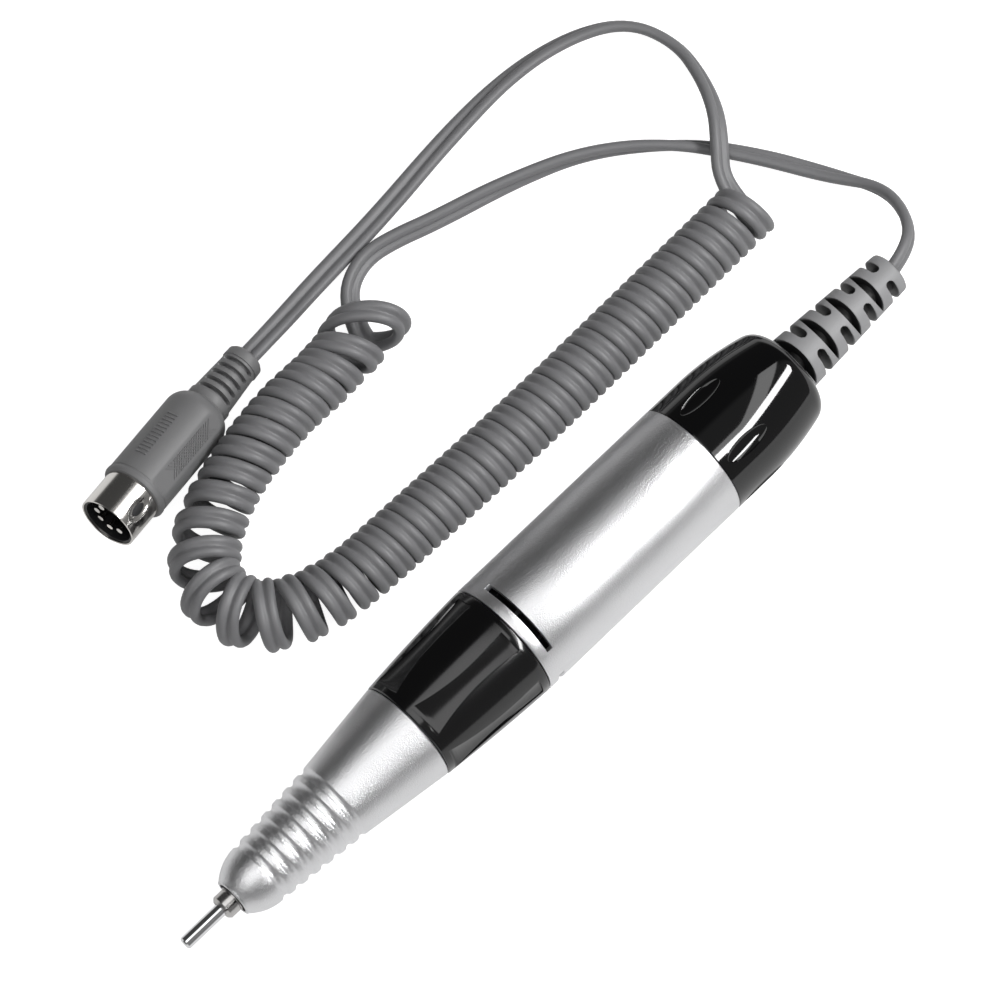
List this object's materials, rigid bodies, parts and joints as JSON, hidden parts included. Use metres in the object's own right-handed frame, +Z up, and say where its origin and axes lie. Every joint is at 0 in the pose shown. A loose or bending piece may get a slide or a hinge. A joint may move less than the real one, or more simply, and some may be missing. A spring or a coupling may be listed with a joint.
{
  "type": "electric nail drill handpiece",
  "caption": "Twist-lock rotary manicure handpiece with collet and test pin, curly cord and round multi-pin plug.",
  "frame": {"origin": "under the middle of the handpiece, on the surface that it lies on", "axes": "+X along the handpiece from the pin towards the cord, +Z up, the coil and plug lie on its +Y side"},
  "size_m": [0.227, 0.1097, 0.028],
  "materials": {
    "aluminium": "bead-blasted, clear anodised",
    "black_plastic": "polished moulded black",
    "steel": "ground steel",
    "chrome": "polished",
    "brass": "turned brass",
    "grey_rubber": "matt moulded grey",
    "grey_cord": "satin grey jacket",
    "black_rubber": "matt seal",
    "dark_plastic": "matt moulded",
    "white_plastic": "matt moulded",
    "copper": "enamelled copper wire",
    "magnet": "sintered ferrite",
    "carbon": "pressed carbon",
    "wire_jacket": "extruded wire jacket"
  },
  "bodies": {
    "handpiece": {"nose_cone": "aluminium", "front_bearing_outer_races": "steel", "rear_bearing_outer_races": "steel", "dust_seal": "black_rubber", "bearing_spacer": "aluminium", "bearing_retainer": "brass", "housing_tube": "aluminium", "motor_mount": "dark_plastic", "motor_can": "steel", "mount_screws": "steel", "motor_bushes": "brass", "motor_magnets": "magnet", "end_bell": "white_plastic", "carbon_brushes": "carbon", "brush_holders": "brass", "brush_springs": "steel", "motor_terminals": "brass", "noise_capacitor": "brass", "motor_wires": "wire_jacket", "barrel": "aluminium", "end_cap": "black_plastic", "strain_relief": "grey_rubber", "inner_cord": "grey_cord", "cord_clamp": "dark_plastic", "cord_lead_handpiece": "grey_cord", "cord_lead_plug": "grey_cord", "cord_coil_long": "grey_cord", "cord_coil_bend": "grey_cord", "cord_coil_short": "grey_cord", "plug_body": "grey_rubber", "plug_boot": "grey_rubber", "plug_shell": "chrome", "plug_insulator": "dark_plastic", "plug_contacts": "brass"},
    "twist_ring": {"twist_ring": "black_plastic", "cam_sleeve": "steel"},
    "release": {"release_slider": "brass", "cam_pins": "steel"},
    "rotor": {"motor_shaft": "steel", "armature_core": "steel", "armature_windings": "copper", "commutator": "copper", "cooling_fan": "white_plastic", "drive_coupling": "dark_plastic"},
    "spindle": {"spindle_shaft": "steel", "front_bearing_inner_races": "steel", "rear_bearing_inner_races": "steel", "spring_seat": "steel", "driven_coupling": "dark_plastic"},
    "front_ball_set": {"front_bearing_balls": "chrome", "front_bearing_cages": "brass"},
    "rear_ball_set": {"rear_bearing_balls": "chrome", "rear_bearing_cages": "brass"},
    "collet": {"collet": "steel", "draw_rod": "steel", "cross_pin": "steel", "thrust_collar": "steel", "collet_spring": "steel"},
    "chuck_pin": {"chuck_pin": "chrome"}
  },
  "joints": [
    {"name": "lock_twist", "type": "hinge", "parent": "handpiece", "child": "twist_ring", "pos_m": [-0.0264, 0, 0.014], "axis": [1, 0, 0], "range_deg": [0, 60]},
    {"name": "release_slide", "type": "slide", "parent": "handpiece", "child": "release", "axis": [-1, 0, 0], "range_m": [0, 0.0016]},
    {"name": "rotor_spin", "type": "hinge", "parent": "handpiece", "child": "rotor", "pos_m": [0.01125, 0, 0.014], "axis": [1, 0, 0], "continuous": true},
    {"name": "spindle_spin", "type": "hinge", "parent": "handpiece", "child": "spindle", "pos_m": [-0.06475, 0, 0.014], "axis": [1, 0, 0], "continuous": true},
    {"name": "front_balls_roll", "type": "hinge", "parent": "handpiece", "child": "front_ball_set", "pos_m": [-0.08175, 0, 0.014], "axis": [1, 0, 0], "continuous": true},
    {"name": "rear_balls_roll", "type": "hinge", "parent": "handpiece", "child": "rear_ball_set", "pos_m": [-0.05075, 0, 0.014], "axis": [1, 0, 0], "continuous": true},
    {"name": "collet_slide", "type": "slide", "parent": "spindle", "child": "collet", "axis": [-1, 0, 0], "range_m": [0, 0.0013], "deforming": ["collet_spring"]},
    {"name": "pin_pull", "type": "slide", "parent": "collet", "child": "chuck_pin", "axis": [-1, 0, 0], "range_m": [0, 0.028]}
  ],
  "couplings": [
    {"joint": "release_slide", "follows": "lock_twist", "m_per_rad": 0.0015279},
    {"joint": "collet_slide", "follows": "lock_twist", "m_per_rad": 0.0012414},
    {"joint": "spindle_spin", "follows": "rotor_spin", "ratio": 1},
    {"joint": "front_balls_roll", "follows": "rotor_spin", "ratio": 0.41},
    {"joint": "rear_balls_roll", "follows": "rotor_spin", "ratio": 0.4}
  ]
}
